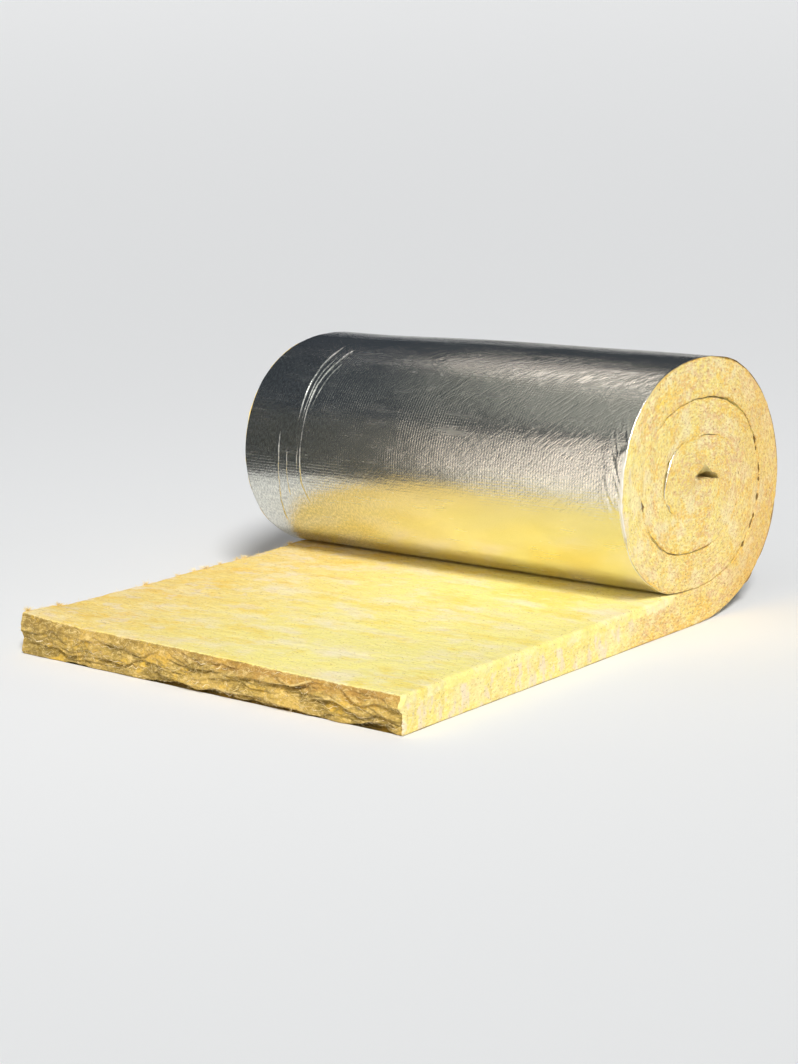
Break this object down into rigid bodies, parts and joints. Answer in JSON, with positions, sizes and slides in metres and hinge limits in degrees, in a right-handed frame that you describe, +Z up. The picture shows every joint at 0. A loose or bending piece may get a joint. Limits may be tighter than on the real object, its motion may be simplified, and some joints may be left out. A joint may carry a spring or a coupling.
{
  "type": "insulation roll",
  "caption": "Roll of mineral-wool insulation blanket with an aluminium facing on its outer side, lying on its side with the free end run out flat.",
  "frame": {"origin": "on the floor, under the middle of the whole part", "axes": "+X across the blanket, along the roll's axis; +Y along the blanket from its free end towards the roll; +Z up"},
  "size_m": [1, 1.2532, 0.5414],
  "materials": {
    "wool": "matt fibrous mineral wool, yellow with paler and pinkish patches",
    "facing": "creased aluminium foil over a fine square scrim"
  },
  "bodies": {
    "root": {"wool_blanket": "wool", "foil_facing": "facing"}
  },
  "joints": []
}
